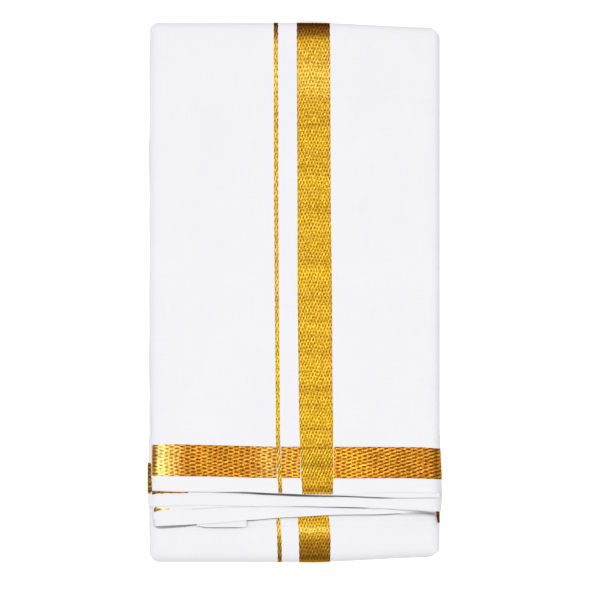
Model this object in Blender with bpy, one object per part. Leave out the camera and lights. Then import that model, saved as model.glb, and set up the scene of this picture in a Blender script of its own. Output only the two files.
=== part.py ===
"""Folded dhoti cloth: a long cotton cloth with woven gold borders, halved to sixteen layers
and then folded in three like a letter. It lies flat on its back.

+X is the right of the pack, +Y its top fold and +Z up, in metres. The origin is under the
middle of the pack, on the surface that it rests on.

Every piece is swept along one path: the outside of the pack, from the flap's free end, over
the top fold, along the back, round the bottom fold and up the lower front to the end that the
flap covers. "Along" is a distance on that path, "depth" is how far inside it a point is.
"""
import math

import bmesh
import bpy
from mathutils import Vector

mm = 0.001

# The pack
half_length = 213.25 * mm
half_width = 114.3 * mm
layer_group = 1.8 * mm          # a group of four layers, pressed
seam_gap = 0.3 * mm
pass_thickness = 4 * (layer_group + seam_gap)
pass_gap = 0.4 * mm             # between one pass of the letter fold and the next
corner_radius = 7.5 * mm        # of the pack, seen from above
top_radius = (3 * pass_thickness + 2 * pass_gap) / 2
bottom_radius = (2 * pass_thickness + pass_gap) / 2
side_radius = pass_thickness / 2

# The woven gold bands, let into the cloth that they are woven in
inlay = 0.5 * mm
recess = inlay + seam_gap

# Where the free end of each pass lies
under_flap_y = -110.0 * mm      # the step layers run this far under the flap
lower_end_y = 194.0 * mm        # the end of the lower pass, inside the top fold

# The right side swells a little where the thick border is folded
bulge = 2.0 * mm
bulge_y = -138.0 * mm
bulge_reach = 24.0 * mm

# The right side is a little shorter than the left, at the top and the bottom
taper = 3.8 * mm
taper_from_y = 184.0 * mm
taper_full_y = 207.0 * mm
taper_left_x = 10.0 * mm
taper_right_x = 115.0 * mm

# The left edge of each group of layers
flap_left = -113.4 * mm
second_left = -116.2 * mm
third_left = -110.8 * mm
inner_left = -109.6 * mm
tip_share = 0.28                # of a group's thickness, where its left edge turns in

# How far inside the right side each group of step layers ends, at its top and its underside
second_right_ends = (-side_radius - 0.2 * mm, -2.4 * mm)
third_right_ends = (-2.3 * mm, -3.4 * mm)
inner_right_ends = (-side_radius - 0.5 * mm, -side_radius - 0.5 * mm)

# Straight edges across the flap, as Y at three places along X
hem_columns = ("x", "border_top", "border_bottom", "flap_hem", "second_hem", "third_hem")
hem_rows = [
    (-114 * mm, -121.0 * mm, -146.1 * mm, -157.0 * mm, -170.0 * mm, -184.6 * mm),
    (-60 * mm, -121.4 * mm, -146.6 * mm, -158.6 * mm, -169.6 * mm, -181.9 * mm),
    (0 * mm, -122.9 * mm, -147.6 * mm, -161.2 * mm, -170.0 * mm, -178.4 * mm),
    (60 * mm, -123.1 * mm, -147.4 * mm, -162.8 * mm, -171.2 * mm, -177.2 * mm),
    (117 * mm, -124.8 * mm, -149.4 * mm, -164.6 * mm, -177.8 * mm, -178.8 * mm),
]

# The corner of the cloth's own cut end, which peeps out under the third layers
tab_left = -77.0 * mm
tab_right = -38.4 * mm
tab_reach = 5.2 * mm
tab_slope = 12.0 * mm           # how long the slope at its left is
tab_end = 0.5 * mm              # and the short one at its right
inner_setback = 1.2 * mm

# The upright bands, as X at places on the path
band_columns = ("y", "line_left", "line_right", "band_left", "band_right")
band_rows = [
    (-165 * mm, -13.8 * mm, -10.6 * mm, 6.8 * mm, 29.0 * mm),
    (-124 * mm, -14.6 * mm, -10.8 * mm, 2.5 * mm, 29.0 * mm),
    (213 * mm, -16.2 * mm, -12.2 * mm, 2.1 * mm, 27.4 * mm),
]

# Folded edges inside the left side, from the flap's layers inwards, as (depth, left)
left_folds = [
    (2.1 * mm, -114.3 * mm),
    (4.2 * mm, -112.4 * mm),
    (6.3 * mm, -114.0 * mm),
]
fold_nose = 0.8 * mm            # how far a folded edge rounds away
nose_shares = (0.3, 0.7)        # where, between its two faces, it turns in
groove = 0.1 * mm               # half the gap between one folded edge and the next
core_setback = 1.0 * mm         # the hidden layers stop this far inside the lower end

flap_rows_y = [-95 * mm, -40 * mm, 60 * mm, 140 * mm, 170 * mm]
side_rows_y = [185 * mm, 165 * mm, 140 * mm, 0 * mm, -140 * mm, -165 * mm, -185 * mm]
left_stations_x = [-88 * mm, -60 * mm]
right_stations_x = [60 * mm, 82 * mm, 101 * mm]
fold_steps = 10
side_steps = 7
weld = 0.001 * mm
sharp_angle = math.radians(35)

# The path: how long each stretch of it is
top_y = half_length - top_radius
bottom_y = bottom_radius - half_length
top_fold_end = math.pi * top_radius
back_end = top_fold_end + top_y - bottom_y
bottom_fold_end = back_end + math.pi * bottom_radius
lower_end = bottom_fold_end + lower_end_y - bottom_y


def read_row(columns, rows, name, at):
    """The value of the named column at a place in the first column, between its rows."""
    column = columns.index(name)
    if at <= rows[0][0]:
        return rows[0][column]
    for low, high in zip(rows, rows[1:]):
        if at <= high[0]:
            share = (at - low[0]) / (high[0] - low[0])
            return low[column] + share * (high[column] - low[column])
    return rows[-1][column]


def smooth_step(value, low, high):
    share = min(max((value - low) / (high - low), 0.0), 1.0)
    return share * share * (3 - 2 * share)


def path_place(along):
    """Y, Z and the outward direction at a distance along the outside of the pack."""
    if along <= 0:
        return top_y + along, 2 * top_radius, 0.0, 1.0
    if along <= top_fold_end:
        turn = math.pi / 2 - along / top_radius
        reach, rise = math.cos(turn), math.sin(turn)
        return top_y + top_radius * reach, top_radius * (1 + rise), reach, rise
    if along <= back_end:
        return top_y - (along - top_fold_end), 0.0, 0.0, -1.0
    if along <= bottom_fold_end:
        turn = -math.pi / 2 - (along - back_end) / bottom_radius
        reach, rise = math.cos(turn), math.sin(turn)
        return bottom_y + bottom_radius * reach, bottom_radius * (1 + rise), reach, rise
    return bottom_y + along - bottom_fold_end, 2 * bottom_radius, 0.0, 1.0


def on_flap(y):
    return y - top_y


def on_lower(y):
    return bottom_fold_end + y - bottom_y


def on_back(y):
    return top_fold_end + top_y - y


def point(along, x, depth):
    """The world place of a point on the path, x across it and depth inside it."""
    y, z, reach, rise = path_place(along)
    shorter = taper * smooth_step(x, taper_left_x, taper_right_x)
    shorter *= smooth_step(abs(y), taper_from_y, taper_full_y)
    return Vector((x, y - math.copysign(shorter, y) - reach * depth, z - rise * depth))


def corner_inset(along):
    """How much narrower each side is near the ends, for the round corners of the pack."""
    past = abs(path_place(along)[0]) - (half_length - corner_radius)
    if past <= 0:
        return 0.0
    return corner_radius - math.sqrt(max(corner_radius ** 2 - past ** 2, 0.0))


def right_edge(along):
    y = path_place(along)[0]
    swell = bulge * math.exp(-((y - bulge_y) / bulge_reach) ** 2) if along < 0 else 0.0
    return half_width + swell - corner_inset(along)


def band_edges(along):
    """X of the four edges of the upright line and band at a place on the path."""
    y = path_place(along)[0] if along < 0 else half_length
    return [read_row(band_columns, band_rows, name, y) for name in band_columns[1:]]


def straight(along):
    """A row of points at one distance along the path."""
    return lambda x: along


def hem(name, further=0.0):
    """A row of points along a named edge of the flap; further is towards the flap's end."""
    return lambda x: on_flap(read_row(hem_columns, hem_rows, name, x) - further)


def fold_rows(start, end):
    return [straight(start + (end - start) * step / fold_steps) for step in range(fold_steps + 1)]


def mesh_object(name, vertices, faces, material, collection):
    """A closed body from its points and faces, with coinciding points joined."""
    mesh = bpy.data.meshes.new(name)
    mesh.from_pydata(vertices, [], faces)
    body = bmesh.new()
    body.from_mesh(mesh)
    bmesh.ops.remove_doubles(body, verts=body.verts, dist=weld)
    bmesh.ops.recalc_face_normals(body, faces=body.faces)
    body.to_mesh(mesh)
    body.free()
    mesh.materials.append(material)
    mesh.shade_smooth()
    mesh.set_sharp_from_angle(angle=sharp_angle)
    piece = bpy.data.objects.new(name, mesh)
    collection.objects.link(piece)
    return piece


def wall(name, grid, material, collection):
    """A wall of cloth: grid holds rows of (outer point, inner point) pairs."""
    rows, columns = len(grid), len(grid[0])
    vertices = [pair[side] for side in (0, 1) for row in grid for pair in row]
    inner = rows * columns
    faces = []
    for row in range(rows - 1):
        for column in range(columns - 1):
            corner = row * columns + column
            quad = (corner, corner + 1, corner + columns + 1, corner + columns)
            faces.append(quad)
            faces.append(tuple(inner + index for index in reversed(quad)))
    rim = list(range(columns))
    rim += [row * columns + columns - 1 for row in range(1, rows)]
    rim += [(rows - 1) * columns + column for column in range(columns - 2, -1, -1)]
    rim += [row * columns for row in range(rows - 2, 0, -1)]
    for first, second in zip(rim, rim[1:] + rim[:1]):
        faces.append((second, first, inner + first, inner + second))
    return mesh_object(name, vertices, faces, material, collection)


def bar(name, rings, material, collection):
    """A closed body through rings of points, with its two ends capped."""
    count = len(rings[0])
    vertices = [place for ring in rings for place in ring]
    faces = []
    for ring in range(len(rings) - 1):
        for index in range(count):
            first = ring * count + index
            second = ring * count + (index + 1) % count
            faces.append((first, second, second + count, first + count))
    faces.append(tuple(range(count)))
    last = (len(rings) - 1) * count
    faces.append(tuple(reversed(range(last, last + count))))
    return mesh_object(name, vertices, faces, material, collection)


def side_arc(edge, outer_depth, inner_depth):
    """Pairs of (x, depth) round the right side, from the top of a pass to its underside."""
    pairs = []
    for step in range(1, side_steps + 1):
        turn = math.pi / 2 - math.pi * step / side_steps
        pair = []
        for depth in (outer_depth, inner_depth):
            radius = side_radius - depth
            x = edge - side_radius + radius * math.cos(turn)
            pair.append((x, side_radius - radius * math.sin(turn)))
        pairs.append(tuple(pair))
    return pairs


def cloth_section(along, bordered):
    """Pairs of (x, depth) across the outer cloth, with room for the bands let into it."""
    left = flap_left + corner_inset(along)
    right = right_edge(along)
    line_left, line_right, band_left, band_right = band_edges(along)
    low = recess if bordered else 0.0
    tip = tip_share * layer_group
    pairs = [((left, tip), (left, layer_group - tip))]

    def add(x, depth):
        pairs.append(((x, depth), (x, layer_group)))

    add(left + fold_nose, 0.0)
    add(left + fold_nose, low)
    for x in left_stations_x:
        add(x, low)
    for start, end in ((line_left, line_right), (band_left, band_right)):
        add(start - seam_gap, low)
        add(start - seam_gap, recess)
        add(end + seam_gap, recess)
        add(end + seam_gap, low)
    for x in right_stations_x:
        add(x, low)
    add(right - side_radius, low)
    return pairs + side_arc(right, low, layer_group)


def place_pairs(row, pairs):
    return [tuple(point(row(x), x, depth) for x, depth in pair) for pair in pairs]


def cloth_stretch(name, rows, material, collection):
    """A stretch of the outer cloth; rows are (row of points, inside the border or not)."""
    grid = [place_pairs(row, cloth_section(row(0.0), bordered)) for row, bordered in rows]
    return wall(name, grid, material, collection)


def upright_band(name, rows, which, material, collection):
    """The upright line or band, flush with the cloth's outside."""
    grid = []
    for row in rows:
        start, end = band_edges(row(0.0))[which:which + 2]
        middle = (start + end) / 2
        pairs = [((x, 0.0), (x, inlay)) for x in (start, middle, end)]
        grid.append(place_pairs(row, pairs))
    return wall(name, grid, material, collection)


def border_piece(name, start, end, material, collection, wrapped=False):
    """A piece of the border between two places on X; the last one wraps round the side."""
    grid = []
    for share in (0.0, 0.5, 1.0):
        def row(x, share=share):
            bottom = hem("border_bottom", -seam_gap)(x)
            top = hem("border_top", seam_gap)(x)
            return bottom + share * (top - bottom)
        # the upright bands lean, so each row has its own ends
        first, last = start(row(0.0)), end(row(0.0))
        between = [x for x in left_stations_x + right_stations_x if first < x < last]
        stations = [first] + between + [last]
        pairs = [((x, 0.0), (x, inlay)) for x in stations]
        if wrapped:
            pairs += side_arc(right_edge(row(half_width)), 0.0, inlay)
        grid.append(place_pairs(row, pairs))
    return wall(name, grid, material, collection)


def step_layers(name, edge, left, top_depth, right_ends, material, collection, reach=None):
    """A group of layers that steps out under the flap; right_ends are X inside the side."""
    bottom_depth = top_depth + layer_group
    stations = [left + fold_nose, tab_left, tab_left + tab_slope, tab_right, tab_right + tab_end]
    stations += [0.0] + right_stations_x
    tip = tip_share * layer_group
    grid = []
    for out in (True, False):
        def row(x, out=out):
            if not out:
                return on_flap(under_flap_y - seam_gap)
            return hem(edge, reach(x) if reach else 0.0)(x)
        right = right_edge(row(half_width))
        pairs = [((left, top_depth + tip), (left, bottom_depth - tip))]
        pairs += [((x, top_depth), (x, bottom_depth)) for x in stations]
        pairs.append(((right + right_ends[0], top_depth), (right + right_ends[1], bottom_depth)))
        grid.append(place_pairs(row, pairs))
    return wall(name, grid, material, collection)


def tab_outline(x):
    """How far the inner end reaches past the third layers' hem; less than nothing is behind."""
    if x <= tab_left or x > tab_right + tab_end / 2:
        return -inner_setback
    return tab_reach * smooth_step(x, tab_left - tab_slope / 2, tab_left + tab_slope)


def core_ring(along):
    """The closed outline of the hidden layers at one place on the path, as (x, depth)."""
    inset = corner_inset(along)
    centre = right_edge(along) - side_radius
    first = layer_group + seam_gap
    radius = side_radius - first
    ring = []
    for step in range(side_steps + 1):
        turn = math.pi / 2 - math.pi * step / side_steps
        ring.append((centre + radius * math.cos(turn), side_radius - radius * math.sin(turn)))
    ring.append((centre - seam_gap, side_radius + radius))
    ring.append((centre - seam_gap, pass_thickness))
    ring += [(x, pass_thickness) for x in reversed(right_stations_x)]
    ends = [depth for depth, left in left_folds[1:]] + [pass_thickness]
    for (depth, left), end in reversed(list(zip(left_folds, ends))):
        low, high = end - groove, depth + groove
        if end == pass_thickness:
            low = end
        if depth == first:
            high = depth
        x = left + inset
        ring.append((x + fold_nose, low))
        ring += [(x, low + share * (high - low)) for share in nose_shares]
        ring.append((x + fold_nose, high))
    ring += [(x, first) for x in right_stations_x]
    return ring


def make_material(name, colour, roughness, metallic):
    material = bpy.data.materials.new(name)
    material.use_nodes = True
    shader = material.node_tree.nodes["Principled BSDF"]
    shader.inputs["Base Color"].default_value = (*colour, 1.0)
    shader.inputs["Roughness"].default_value = roughness
    shader.inputs["Metallic"].default_value = metallic
    material.diffuse_color = (*colour, 1.0)
    return material


def main():
    for item in list(bpy.data.objects):
        bpy.data.objects.remove(item, do_unlink=True)
    pack = bpy.data.collections.new("folded_dhoti_cloth")
    bpy.context.scene.collection.children.link(pack)

    def cotton(name):
        return make_material(name, (0.87, 0.87, 0.89), 0.9, 0.0)

    def zari(name):
        return make_material(name, (0.72, 0.42, 0.05), 0.35, 0.9)

    flap_rows = [(hem("flap_hem"), False)]
    flap_rows += [(hem("border_bottom"), False), (hem("border_bottom"), True)]
    flap_rows += [(hem("border_top"), True), (hem("border_top"), False)]
    flap_rows += [(straight(on_flap(y)), False) for y in flap_rows_y]
    flap_rows += [(row, False) for row in fold_rows(0.0, top_fold_end)]
    cloth_stretch("flap_cloth", flap_rows, cotton("flap_cloth"), pack)

    back_rows = [straight(top_fold_end + seam_gap)]
    back_rows += [straight(on_back(y)) for y in side_rows_y]
    back_rows += [straight(back_end - seam_gap)]
    cloth_stretch("back_cloth", [(row, False) for row in back_rows], cotton("back_cloth"), pack)

    lower_rows = fold_rows(back_end, bottom_fold_end)
    lower_rows += [straight(on_lower(y)) for y in reversed(side_rows_y)]
    lower_rows.append(straight(lower_end))
    cloth_stretch("lower_cloth", [(row, False) for row in lower_rows], cotton("lower_cloth"), pack)

    stretches = {
        "flap": [row for row, bordered in flap_rows],
        "back": back_rows,
        "lower": lower_rows,
    }
    for stretch, rows in stretches.items():
        for kind, which in (("end_line", 0), ("end_band", 2)):
            name = kind + "_" + stretch
            upright_band(name, rows, which, zari(name), pack)

    def flap_edge(along):
        return flap_left + fold_nose + seam_gap

    def beside(edge, gap):
        return lambda along: band_edges(along)[edge] + gap

    def right_start(along):
        return right_edge(along) - side_radius

    border_piece("border_left", flap_edge, beside(0, -seam_gap), zari("border_left"), pack)
    border_piece("border_middle", beside(1, seam_gap), beside(2, -seam_gap), zari("border_middle"), pack)
    border_piece("border_right", beside(3, seam_gap), right_start, zari("border_right"), pack, wrapped=True)

    group = layer_group + seam_gap
    step_layers("second_layers", "second_hem", second_left, group,
                second_right_ends, cotton("second_layers"), pack)
    step_layers("third_layers", "third_hem", third_left, 2 * group,
                third_right_ends, cotton("third_layers"), pack)
    step_layers("inner_end", "third_hem", inner_left, 3 * group,
                inner_right_ends, cotton("inner_end"), pack, tab_outline)

    core_rows = [on_flap(y) for y in [under_flap_y] + flap_rows_y]
    core_rows += [top_fold_end * step / fold_steps for step in range(fold_steps + 1)]
    core_rows += [on_back(y) for y in side_rows_y]
    core_rows += [back_end + (bottom_fold_end - back_end) * step / fold_steps
                  for step in range(fold_steps + 1)]
    core_rows += [on_lower(y) for y in reversed(side_rows_y)]
    core_rows.append(lower_end - core_setback)
    rings = [[point(along, x, depth) for x, depth in core_ring(along)] for along in core_rows]
    bar("hidden_layers", rings, cotton("hidden_layers"), pack)


main()
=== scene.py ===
# The looks of a folded dhoti: thin white cotton with woven gold zari bands, halved to sixteen
# layers and folded in three. Every sheet follows one path round the pack: along the flap,
# over the top fold, down the back, round the bottom fold and up the lower front.
import math

import bpy
import numpy as np
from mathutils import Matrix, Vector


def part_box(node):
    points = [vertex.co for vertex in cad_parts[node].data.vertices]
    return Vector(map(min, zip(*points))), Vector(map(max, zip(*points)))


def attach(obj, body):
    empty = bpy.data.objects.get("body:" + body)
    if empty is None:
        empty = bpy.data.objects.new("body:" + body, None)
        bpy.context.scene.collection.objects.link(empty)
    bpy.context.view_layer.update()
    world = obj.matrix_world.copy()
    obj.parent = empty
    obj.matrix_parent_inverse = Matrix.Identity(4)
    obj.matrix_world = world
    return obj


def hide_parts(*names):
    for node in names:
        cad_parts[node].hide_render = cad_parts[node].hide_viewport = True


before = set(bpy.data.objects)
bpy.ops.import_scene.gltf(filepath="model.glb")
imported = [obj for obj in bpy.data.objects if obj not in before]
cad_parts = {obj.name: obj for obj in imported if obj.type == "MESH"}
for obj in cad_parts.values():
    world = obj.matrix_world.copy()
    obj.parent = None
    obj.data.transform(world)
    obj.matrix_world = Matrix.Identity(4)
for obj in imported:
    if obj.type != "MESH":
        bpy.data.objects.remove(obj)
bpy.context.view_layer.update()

mm = 0.001
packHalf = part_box("flap_cloth")[1][1] + 1 * mm
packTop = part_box("flap_cloth")[1][2]
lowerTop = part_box("lower_cloth")[1][2]      # front of the lower pass
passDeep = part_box("back_cloth")[1][2]       # one pass of the letter fold, sixteen layers
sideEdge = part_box("back_cloth")[1][0]

pack = {
    "leaf": 0.5 * mm,               # one layer of cotton, loosely pressed
    "layers": 16,
    "cornerRadius": 6.3 * mm,
    "taper": 3.8 * mm,              # the right side is this much shorter at each end
    "taperFrom": 184 * mm,
    "taperFull": 207 * mm,
    "bulge": 1.6 * mm,              # the border makes the right side swell
    "bulgeAt": -156 * mm,
    "bulgeReach": 25 * mm,
}
leaf = pack["leaf"]

# Each fold is a chain of (radius, degrees) arcs on the outside and another on the inside.
# Radius 0 means a straight run of that many millimetres.
topFold = {
    "start": 200.7 * mm,
    "outer": [(0, 3.8), (40, 8), (8, 14), (3.2, 68), (0, 8.04), (14.1, 90)],
    "inner": [(0, 0.25), (4.6, 36), (4.6, 36), (4.6, 36), (4.6, 36), (4.6, 36)],
}
bottomFold = {
    "start": -206.8 * mm,
    "outer": [(7.67, 84), (7.67, 83), (80, 13)],
    "inner": [(0.2, 90), (0.2, 90), (0, 17.5)],
}
lowerEnd = 199 * mm                         # where the lower pass ends, inside the top fold


# points along a chain of arcs, the same number of steps for each
def arcChain(y, z, heading, chain, steps):
    points = [(y, z)]
    for radius, turn in chain:
        for step in range(steps):
            if radius == 0:
                y += turn * mm / steps * math.cos(heading)
                z += turn * mm / steps * math.sin(heading)
            else:
                bend = math.radians(turn) / steps
                chord = 2 * radius * mm * math.sin(bend / 2)
                y += chord * math.cos(heading - bend / 2)
                z += chord * math.sin(heading - bend / 2)
                heading -= bend
            points.append((y, z))
    return points


# the path as rows of (distance, outside y, outside z, inside y, inside z)
def buildSpine():
    steps = 16
    gap = (packTop - 3 * passDeep) / 2
    outer = [(-260 * mm, packTop)]
    inner = [(-260 * mm, packTop - passDeep)]
    outer += arcChain(topFold["start"], packTop, 0.0, topFold["outer"], steps)
    inner += arcChain(topFold["start"], packTop - passDeep, 0.0, topFold["inner"], steps)
    outer += arcChain(bottomFold["start"], 0.0, math.pi, bottomFold["outer"], steps)
    inner += arcChain(bottomFold["start"], passDeep, math.pi, bottomFold["inner"], steps)
    outer.append((lowerEnd, lowerTop))
    inner.append((lowerEnd, passDeep + gap))
    rows = np.hstack([np.array(outer), np.array(inner)])
    far = np.hypot(np.diff(rows[:, 0]), np.diff(rows[:, 1]))
    along = np.concatenate([[0.0], np.cumsum(far)])
    topEnd = 1 + steps * len(topFold["outer"])
    bottomEnd = topEnd + 1 + steps * len(bottomFold["outer"])
    marks = {
        "topStart": along[1],
        "topEnd": along[topEnd],
        "bottomStart": along[topEnd + 1],
        "bottomEnd": along[bottomEnd],
        "end": along[-1],
    }
    return along, rows, marks


spineAlong, spineRows, marks = buildSpine()


def flapAlong(y):
    return marks["topStart"] - topFold["start"] + y


def lowerAlong(y):
    return marks["end"] - lowerEnd + y


def smoothStep(value, low, high):
    share = np.clip((value - low) / (high - low), 0.0, 1.0)
    return share * share * (3 - 2 * share)


# slow unevenness of the whole pack, and the few creases that show, as a rise
def soften(x, y):
    rise = 0.10 * np.sin(x / 0.021 + 0.7) * np.sin(y / 0.033 + 1.1)
    rise += 0.09 * np.sin(x / 0.047 + y / 0.061 + 2.0)
    rise += 0.07 * np.sin(x / 0.013 - y / 0.052 + 0.3)
    rise += 0.05 * np.sin(y / 0.0145 + x / 0.09)
    for creaseAndShade in creases:
        cosine, sine = math.cos(creaseAndShade["lean"]), math.sin(creaseAndShade["lean"])
        away = (x - creaseAndShade["x"]) * cosine + (y - creaseAndShade["y"]) * sine
        run = (y - creaseAndShade["y"]) * cosine - (x - creaseAndShade["x"]) * sine
        rise += creaseAndShade["rise"] * np.exp(-(away / creaseAndShade["wide"]) ** 2 - (run / creaseAndShade["long"]) ** 2)
    return rise * mm


creases = [
    {"x": 0.098, "y": 0.060, "lean": 0.02, "wide": 0.006, "long": 0.120, "rise": -0.35},
    {"x": 0.070, "y": 0.190, "lean": 1.35, "wide": 0.010, "long": 0.050, "rise": -0.40},
    {"x": -0.104, "y": 0.110, "lean": -0.03, "wide": 0.005, "long": 0.090, "rise": -0.25},
    {"x": 0.052, "y": -0.060, "lean": 0.25, "wide": 0.012, "long": 0.060, "rise": -0.25},
    {"x": -0.060, "y": 0.020, "lean": -0.4, "wide": 0.016, "long": 0.070, "rise": 0.22},
    {"x": -0.050, "y": -0.198, "lean": 1.45, "wide": 0.005, "long": 0.045, "rise": -0.30},
    {"x": 0.074, "y": -0.192, "lean": 1.7, "wide": 0.006, "long": 0.035, "rise": 0.25},
]


shoulders = {
    "left": -115 * mm,
    "right": 115.4 * mm,
    "leftDrop": 3.6 * mm,
    "rightDrop": 3.0 * mm,
    "reach": 2.8 * mm,
}
# painted shade: how dark the cloth is painted where the pack turns away, and over what distance
edgeShades = {
    "left": (0.075, 2.8 * mm),
    "right": (0.22, 2.6 * mm),
    "top": (0.10, 2.0 * mm),
    "bottom": (0.24, 3.6 * mm),
}


# the pack slopes off a little towards its two sides
def shoulder(x):
    fromLeft = np.clip(x - shoulders["left"], 0.0, None)
    fromRight = np.clip(shoulders["right"] - x, 0.0, None)
    drop = shoulders["leftDrop"] * np.exp(-(fromLeft / shoulders["reach"]) ** 1.6)
    return drop + shoulders["rightDrop"] * np.exp(-(fromRight / shoulders["reach"]) ** 1.6)


# how much shorter the pack is at each end, towards its right side
def taperAt(x):
    return pack["taper"] * smoothStep(x, 10 * mm, 115 * mm)


# world points for arrays of distance on the path, x and depth inside the pack
def place(along, x, depth):
    outerY = np.interp(along, spineAlong, spineRows[:, 0])
    outerZ = np.interp(along, spineAlong, spineRows[:, 1])
    innerY = np.interp(along, spineAlong, spineRows[:, 2])
    innerZ = np.interp(along, spineAlong, spineRows[:, 3])
    share = depth / passDeep
    y = outerY + share * (innerY - outerY)
    z = outerZ + share * (innerZ - outerZ)
    shorter = taperAt(x) * smoothStep(np.abs(y), pack["taperFrom"], pack["taperFull"])
    y = y - np.sign(y) * shorter
    z = z + soften(x, y) * np.clip(z / packTop, 0.0, 1.1)
    z = z - z / packTop * shoulder(x)
    return np.stack([x + 0.0 * y, y, z], axis=-1)


def outsideY(along):
    return np.interp(along, spineAlong, spineRows[:, 0])


# how much each side draws in near the ends, for the pack's round corners
def cornerInset(along):
    radius = pack["cornerRadius"]
    past = np.clip(np.abs(outsideY(along)) - (packHalf - radius), 0.0, radius)
    return radius - np.sqrt(radius ** 2 - past ** 2)


def bulge(along):
    swell = np.exp(-((outsideY(along) - pack["bulgeAt"]) / pack["bulgeReach"]) ** 2)
    return pack["bulge"] * swell * (along < marks["topStart"])


# a curve through a short table of (x, value) rows, in millimetres, softly joined
def readTable(rows, x, spread=4 * mm):
    xs = np.array([row[0] for row in rows]) * mm
    values = np.array([row[1] for row in rows]) * mm
    total = 0.0
    for shift in (-1.5, -0.75, 0.0, 0.75, 1.5):
        total = total + np.interp(x + shift * spread, xs, values)
    return total / 5


# an open sheet through a grid of points, with a UV map in metres along the cloth
def gridMesh(name, points, acrossAt, alongAt):
    rows, columns = points.shape[:2]
    index = np.arange(rows * columns).reshape(rows, columns)
    faces = np.stack([index[:-1, :-1], index[:-1, 1:], index[1:, 1:], index[1:, :-1]], axis=-1)
    faces = faces.reshape(-1, 4)
    mesh = bpy.data.meshes.new(name)
    mesh.from_pydata(points.reshape(-1, 3).tolist(), [], faces.tolist())
    layer = mesh.uv_layers.new(name="cloth")
    across = np.broadcast_to(acrossAt, (rows, columns)).reshape(-1)[faces.reshape(-1)]
    along = np.broadcast_to(alongAt, (rows, columns)).reshape(-1)[faces.reshape(-1)]
    layer.data.foreach_set("uv", np.stack([across, along], axis=-1).reshape(-1).astype(np.float32))
    piece = bpy.data.objects.new(name, mesh)
    bpy.context.scene.collection.objects.link(piece)
    return piece


def addAttribute(piece, name, values):
    attribute = piece.data.attributes.new(name, "FLOAT", "POINT")
    attribute.data.foreach_set("value", np.ascontiguousarray(values, dtype=np.float32).reshape(-1))


def selectOnly(piece):
    bpy.ops.object.select_all(action="DESELECT")
    piece.select_set(True)
    bpy.context.view_layer.objects.active = piece


# gives an open sheet its thickness, and shades it smooth with crisp edges
def thicken(piece, thickness, offset=0.0):
    selectOnly(piece)
    wall = piece.modifiers.new("wall", "SOLIDIFY")
    wall.thickness = thickness
    wall.offset = offset
    wall.use_even_offset = False
    bpy.ops.object.modifier_apply(modifier="wall")
    bpy.ops.object.shade_smooth_by_angle(angle=math.radians(50))


def finishPiece(piece, material, replaced=()):
    piece.data.materials.clear()
    piece.data.materials.append(material)
    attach(piece, "root")
    if replaced:
        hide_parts(*replaced)


def newMaterial(name):
    material = bpy.data.materials.new(name)
    material.use_nodes = True
    tree = material.node_tree
    return material, tree, tree.nodes["Principled BSDF"]


def mathNode(tree, operation, first, second=None):
    node = tree.nodes.new("ShaderNodeMath")
    node.operation = operation
    for socket, value in zip(node.inputs, (first, second)):
        if value is None:
            continue
        if isinstance(value, (int, float)):
            socket.default_value = value
        else:
            tree.links.new(value, socket)
    return node.outputs[0]


# mixes two colours, each a socket or three numbers
def mixColours(tree, share, low, high):
    node = tree.nodes.new("ShaderNodeMix")
    node.data_type = "RGBA"
    tree.links.new(share, node.inputs["Factor"])
    for socket, value in ((node.inputs[6], low), (node.inputs[7], high)):
        if isinstance(value, tuple):
            socket.default_value = (*value, 1.0)
        else:
            tree.links.new(value, socket)
    return node.outputs[2]


def remap(tree, value, low, high, newLow, newHigh):
    node = tree.nodes.new("ShaderNodeMapRange")
    tree.links.new(value, node.inputs["Value"])
    for name, number in (("From Min", low), ("From Max", high), ("To Min", newLow), ("To Max", newHigh)):
        node.inputs[name].default_value = number
    return node.outputs["Result"]


# noise on the cloth's own UV map; the scales are how many grains fit in a metre
def clothNoise(tree, scaleAcross, scaleAlong, detail=2.0):
    coordinates = tree.nodes.new("ShaderNodeTexCoord")
    mapping = tree.nodes.new("ShaderNodeMapping")
    mapping.inputs["Scale"].default_value = (scaleAcross, scaleAlong, 1.0)
    noise = tree.nodes.new("ShaderNodeTexNoise")
    noise.inputs["Scale"].default_value = 1.0
    noise.inputs["Detail"].default_value = detail
    tree.links.new(coordinates.outputs["UV"], mapping.inputs["Vector"])
    tree.links.new(mapping.outputs["Vector"], noise.inputs["Vector"])
    return noise.outputs["Fac"]


# the over and under of a plain weave, from 0 to 1, on the cloth's own UV map
def plainWeave(tree, pitch):
    coordinates = tree.nodes.new("ShaderNodeTexCoord")
    separate = tree.nodes.new("ShaderNodeSeparateXYZ")
    tree.links.new(coordinates.outputs["UV"], separate.inputs["Vector"])
    across = mathNode(tree, "SINE", mathNode(tree, "MULTIPLY", separate.outputs["X"], math.pi / pitch))
    along = mathNode(tree, "SINE", mathNode(tree, "MULTIPLY", separate.outputs["Y"], math.pi / pitch))
    both = mathNode(tree, "MULTIPLY", across, along)
    return mathNode(tree, "MULTIPLY_ADD", both, 0.5)


def attributeSocket(tree, name):
    node = tree.nodes.new("ShaderNodeAttribute")
    node.attribute_name = name
    return node.outputs["Fac"]


cottonLook = {
    "light": (0.792, 0.788, 0.800),
    "dark": (0.757, 0.754, 0.772),
    # painted shade, mixed into the cotton by an attribute
    "shade": (0.125, 0.115, 0.115),         # deep in a crease, where no light gets
    "threadPitch": 0.42 * mm,
    "slubLong": 26 * mm,
    "slubWide": 0.9 * mm,
    "roughness": 0.88,
    "sheen": 0.22,
}


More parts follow.
